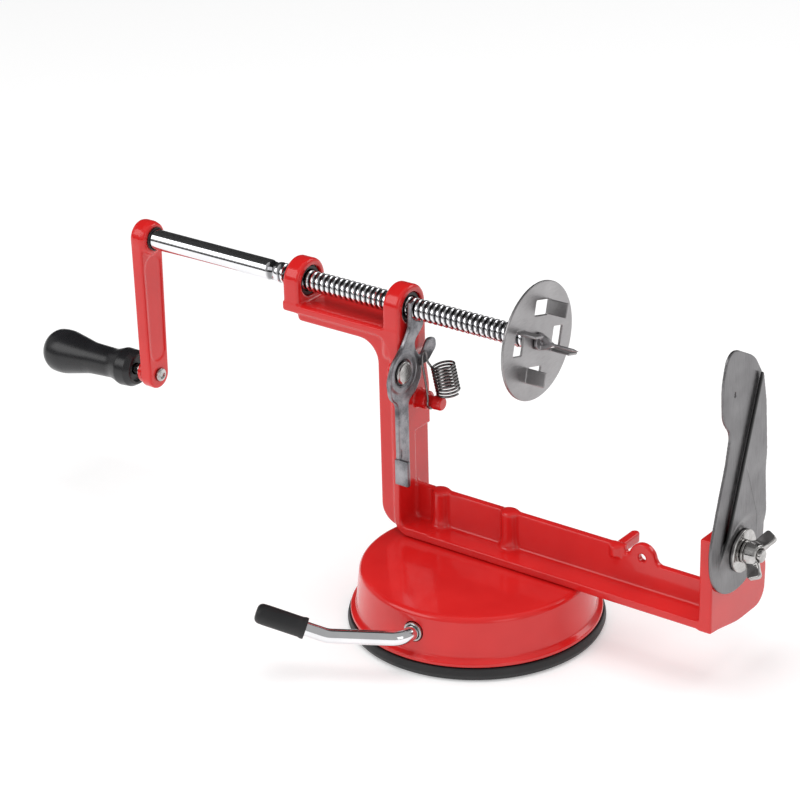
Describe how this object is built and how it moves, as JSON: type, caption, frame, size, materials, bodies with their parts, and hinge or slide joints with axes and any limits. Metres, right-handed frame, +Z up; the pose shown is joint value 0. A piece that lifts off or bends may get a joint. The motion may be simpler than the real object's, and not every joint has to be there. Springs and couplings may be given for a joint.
{
  "type": "apple spiral slicer",
  "caption": "Hand-cranked apple spiral slicer: screw-fed shaft with pronged disc, red cast frame, upright slicing blade and lever-locked suction base.",
  "frame": {"origin": "centre of the rubber pad's underside, on the table", "axes": "+Z up, +X along the drive shaft from the crank to the blade, -Y is the side of the suction lever and the clasp"},
  "size_m": [0.4118, 0.1588, 0.169],
  "materials": {
    "red_paint": "gloss",
    "chrome": "polished",
    "stainless": "satin",
    "cast_steel": "tumbled",
    "nickel": "plated",
    "dark_steel": "oiled",
    "black_grip": "satin",
    "black_rubber": "matte",
    "nylon": "satin"
  },
  "bodies": {
    "frame": {"frame_casting": "red_paint", "rear_bush": "nylon", "front_bush": "nylon", "base_housing": "red_paint", "suction_pad": "black_rubber", "screw_washer_left": "nickel", "screw_washer_right": "nickel", "frame_screw_left": "nickel", "frame_screw_right": "nickel", "lever_gland": "nickel", "axle_bracket": "stainless", "clasp_screw": "nickel", "clasp_spring": "stainless", "blade_bolt": "nickel"},
    "suction_lever": {"suction_rod": "chrome", "lever_grip": "black_rubber", "lift_cam": "nickel"},
    "lift_stem": {"lift_yoke": "stainless", "pull_plate": "stainless"},
    "feed_stop": {"thrust_washer": "nylon"},
    "crank_shaft": {"drive_shaft": "chrome", "crank_arm": "red_paint", "grub_screw": "dark_steel", "handle_pin": "nickel", "handle_washer": "nickel", "gripping_disc": "stainless", "centre_spear": "stainless"},
    "handle": {"handle_grip": "black_grip"},
    "clasp": {"adjusting_clasp": "cast_steel"},
    "blade": {"slicing_blade": "stainless"},
    "clamp_washers": {"blade_washer": "nickel", "spring_washer": "nickel"},
    "wing_nut": {"wing_nut": "nickel"}
  },
  "joints": [
    {"name": "suction_lever_turn", "type": "hinge", "parent": "frame", "child": "suction_lever", "pos_m": [0, 0, 0.0189], "axis": [-0.0698, 0.9976, 0], "range_deg": [0, 175]},
    {"name": "stem_lift", "type": "slide", "parent": "frame", "child": "lift_stem", "axis": [0, 0, 1], "range_m": [0, 0.002]},
    {"name": "screw_feed", "type": "slide", "parent": "frame", "child": "feed_stop", "axis": [1, 0, 0], "range_m": [-0.036, 0.072]},
    {"name": "crank_turn", "type": "hinge", "parent": "feed_stop", "child": "crank_shaft", "pos_m": [-0.1965, 0.0126, 0.1415], "axis": [1, 0, 0], "range_deg": [-4319, 8639]},
    {"name": "handle_spin", "type": "hinge", "parent": "crank_shaft", "child": "handle", "pos_m": [-0.245, 0.0126, 0.0668], "axis": [0.999, 0, 0.0436], "continuous": true},
    {"name": "clasp_pivot", "type": "hinge", "parent": "frame", "child": "clasp", "pos_m": [-0.041, 0.0006, 0.1142], "axis": [1, 0, 0], "range_deg": [0, 6], "stiffness_Nm_per_rad": 0.5, "springref_deg": -11.46, "deforming": ["clasp_spring"]},
    {"name": "blade_swing", "type": "hinge", "parent": "frame", "child": "blade", "pos_m": [0.1248, 0.024, 0.0613], "axis": [1, 0, 0], "range_deg": [-25, 25]},
    {"name": "clamp_open", "type": "slide", "parent": "frame", "child": "clamp_washers", "axis": [1, 0, 0], "range_m": [0, 0.0021]},
    {"name": "wing_nut_turn", "type": "hinge", "parent": "clamp_washers", "child": "wing_nut", "pos_m": [0.132, 0.024, 0.0613], "axis": [1, 0, 0], "range_deg": [0, 720]}
  ],
  "couplings": [
    {"joint": "stem_lift", "follows": "suction_lever_turn", "m_per_rad": 0.00063662},
    {"joint": "screw_feed", "follows": "crank_turn", "m_per_rad": 0.00047746},
    {"joint": "clamp_open", "follows": "wing_nut_turn", "m_per_rad": 0.00015915}
  ]
}
